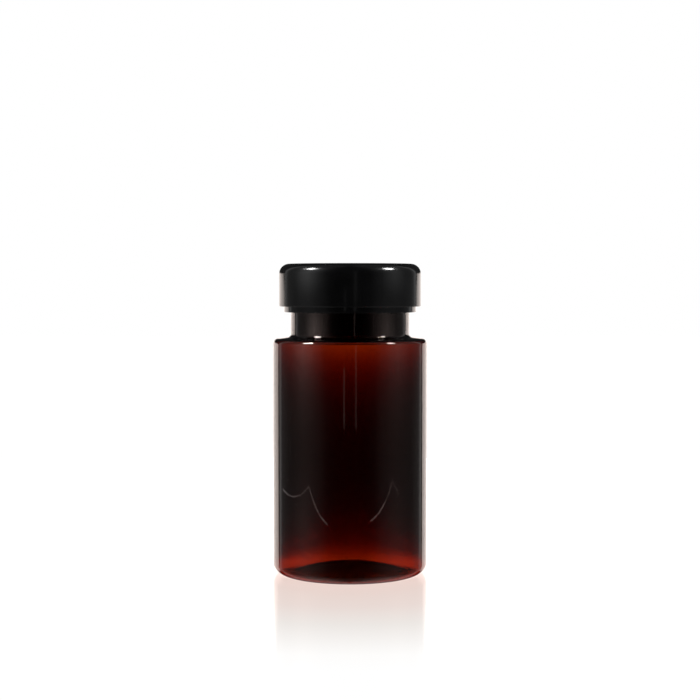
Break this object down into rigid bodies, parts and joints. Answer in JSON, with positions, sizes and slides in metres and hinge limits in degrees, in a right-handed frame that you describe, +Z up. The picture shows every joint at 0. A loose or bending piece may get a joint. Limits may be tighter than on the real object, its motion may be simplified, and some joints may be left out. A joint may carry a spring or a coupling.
{
  "type": "prescription vial",
  "caption": "Amber cylindrical vial with a threaded neck and a black push-and-turn closure made of a sprung outer shell, a threaded inner cap and a liner.",
  "frame": {"origin": "centre of the base, on the surface that the vial stands on", "axes": "+Z up along the vial's axis, towards the closure"},
  "size_m": [0.0456, 0.0456, 0.0919],
  "materials": {
    "amber_plastic": "clear dark amber PET, smooth and glossy",
    "liner_board": "matt pulp board",
    "foil": "bright rolled foil",
    "inner_cap_black": "glossy black moulded plastic",
    "shell_black": "satin black moulded plastic"
  },
  "bodies": {
    "vial": {"vial_body": "amber_plastic"},
    "liner": {"liner_board": "liner_board", "foil_seal": "foil"},
    "inner_cap": {"inner_cap": "inner_cap_black"},
    "spring": {"spring_fingers": "shell_black"},
    "outer_shell": {"outer_shell": "shell_black"}
  },
  "joints": [
    {"name": "cap_lift", "type": "slide", "parent": "vial", "child": "liner", "axis": [0, 0, 1], "range_m": [0, 0.0106]},
    {"name": "cap_turn", "type": "hinge", "parent": "liner", "child": "inner_cap", "pos_m": [0, 0, 0.0816], "axis": [0, 0, 1], "range_deg": [0, 900]},
    {"name": "shell_turn", "type": "hinge", "parent": "inner_cap", "child": "spring", "pos_m": [0, 0, 0.0883], "axis": [0, 0, 1], "continuous": true},
    {"name": "shell_push", "type": "slide", "parent": "spring", "child": "outer_shell", "axis": [0, 0, -1], "range_m": [0, 0.0013], "stiffness_N_per_m": 8000, "deforming": ["spring_fingers"]}
  ],
  "couplings": [
    {"joint": "cap_lift", "follows": "cap_turn", "m_per_rad": 0.0006737}
  ]
}
